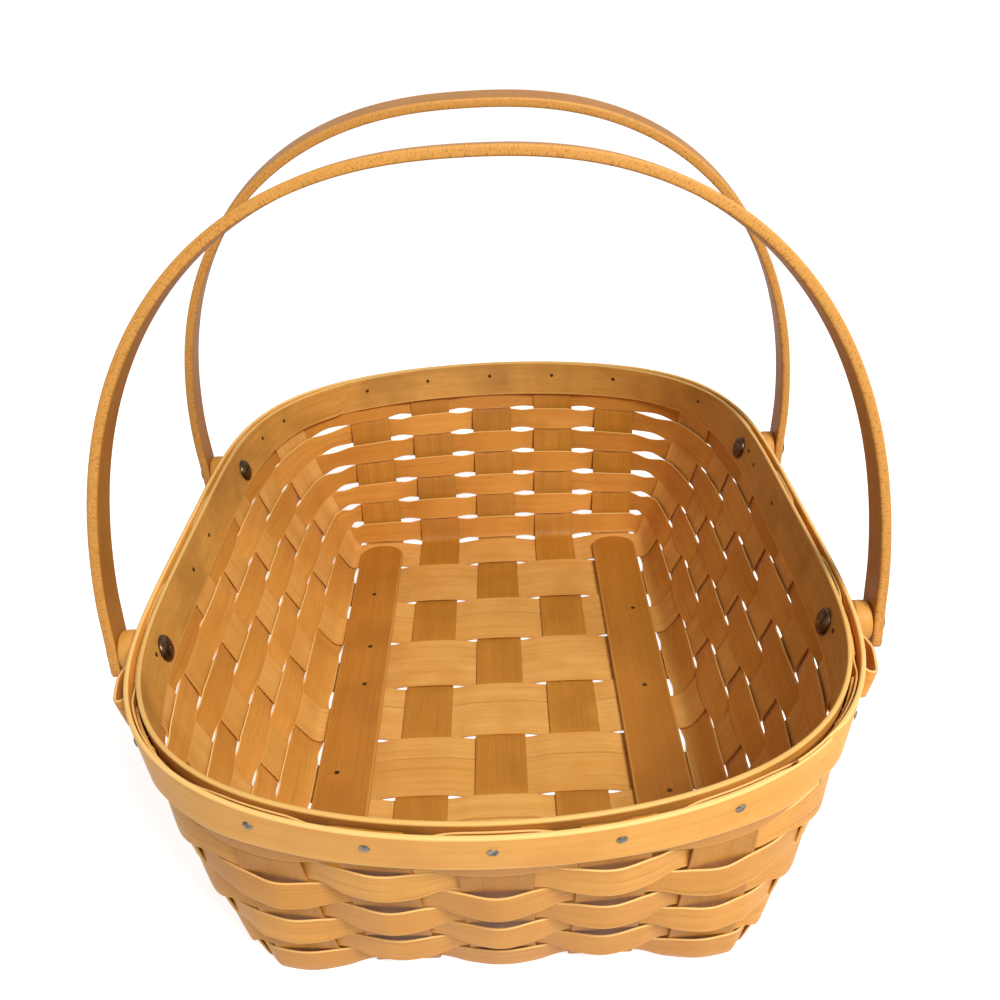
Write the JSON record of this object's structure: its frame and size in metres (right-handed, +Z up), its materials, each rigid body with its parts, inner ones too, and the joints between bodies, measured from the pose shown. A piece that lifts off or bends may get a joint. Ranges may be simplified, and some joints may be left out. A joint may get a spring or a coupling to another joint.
{
  "type": "gathering basket",
  "caption": "Oblong gathering basket of woven hardwood splints with nailed rim bands, floor runners and a pair of riveted bentwood swing handles.",
  "frame": {"origin": "on the ground under the middle of the floor", "axes": "+Z up, +Y along the basket's length towards the end with the back handle, +X across it to the right seen from the front handle's end"},
  "size_m": [0.3276, 0.412, 0.2968],
  "materials": {
    "stake_wood": "satin",
    "cross_stake_wood": "satin",
    "weaver_wood": "satin",
    "band_wood": "satin",
    "runner_wood": "satin",
    "handle_wood": "satin",
    "washer_wood": "satin",
    "rivet_bronze": "dark patina",
    "tack_steel": "dull"
  },
  "bodies": {
    "basket": {"long_stake_1": "stake_wood", "long_stake_2": "stake_wood", "long_stake_3": "stake_wood", "long_stake_4": "stake_wood", "long_stake_5": "stake_wood", "cross_stake_1": "cross_stake_wood", "cross_stake_2": "cross_stake_wood", "cross_stake_3": "cross_stake_wood", "cross_stake_4": "cross_stake_wood", "cross_stake_5": "cross_stake_wood", "cross_stake_6": "cross_stake_wood", "cross_stake_7": "cross_stake_wood", "cross_stake_8": "cross_stake_wood", "floor_filler_1": "cross_stake_wood", "floor_filler_2": "cross_stake_wood", "floor_filler_3": "cross_stake_wood", "floor_filler_4": "cross_stake_wood", "floor_filler_5": "cross_stake_wood", "floor_filler_6": "cross_stake_wood", "floor_filler_7": "cross_stake_wood", "wall_weaver_1": "weaver_wood", "wall_weaver_2": "weaver_wood", "wall_weaver_3": "weaver_wood", "wall_weaver_4": "weaver_wood", "wall_weaver_5": "weaver_wood", "wall_weaver_6": "weaver_wood", "wall_weaver_7": "weaver_wood", "top_weaver": "weaver_wood", "left_side_strip": "weaver_wood", "right_side_strip": "weaver_wood", "inner_band": "band_wood", "outer_band": "band_wood", "left_runner": "runner_wood", "right_runner": "runner_wood", "front_left_rivet": "rivet_bronze", "front_left_washer": "washer_wood", "back_left_rivet": "rivet_bronze", "back_left_washer": "washer_wood", "front_right_rivet": "rivet_bronze", "front_right_washer": "washer_wood", "back_right_rivet": "rivet_bronze", "back_right_washer": "washer_wood", "far_tack_1": "tack_steel", "far_tack_2": "tack_steel", "far_tack_3": "tack_steel", "far_tack_4": "tack_steel", "far_tack_5": "tack_steel", "near_tack_1": "tack_steel", "near_tack_2": "tack_steel", "near_tack_3": "tack_steel", "near_tack_4": "tack_steel", "near_tack_5": "tack_steel", "right_tack_1": "tack_steel", "right_tack_8": "tack_steel", "left_tack_1": "tack_steel", "left_tack_8": "tack_steel"},
    "front_handle": {"front_handle": "handle_wood"},
    "back_handle": {"back_handle": "handle_wood"}
  },
  "joints": [
    {"name": "front_handle_swing", "type": "hinge", "parent": "basket", "child": "front_handle", "pos_m": [0, -0.0835, 0.1012], "axis": [1, 0, 0], "range_deg": [-14.3, 122.2]},
    {"name": "back_handle_swing", "type": "hinge", "parent": "basket", "child": "back_handle", "pos_m": [0, 0.0835, 0.1012], "axis": [1, 0, 0], "range_deg": [-121, 15.5]}
  ]
}
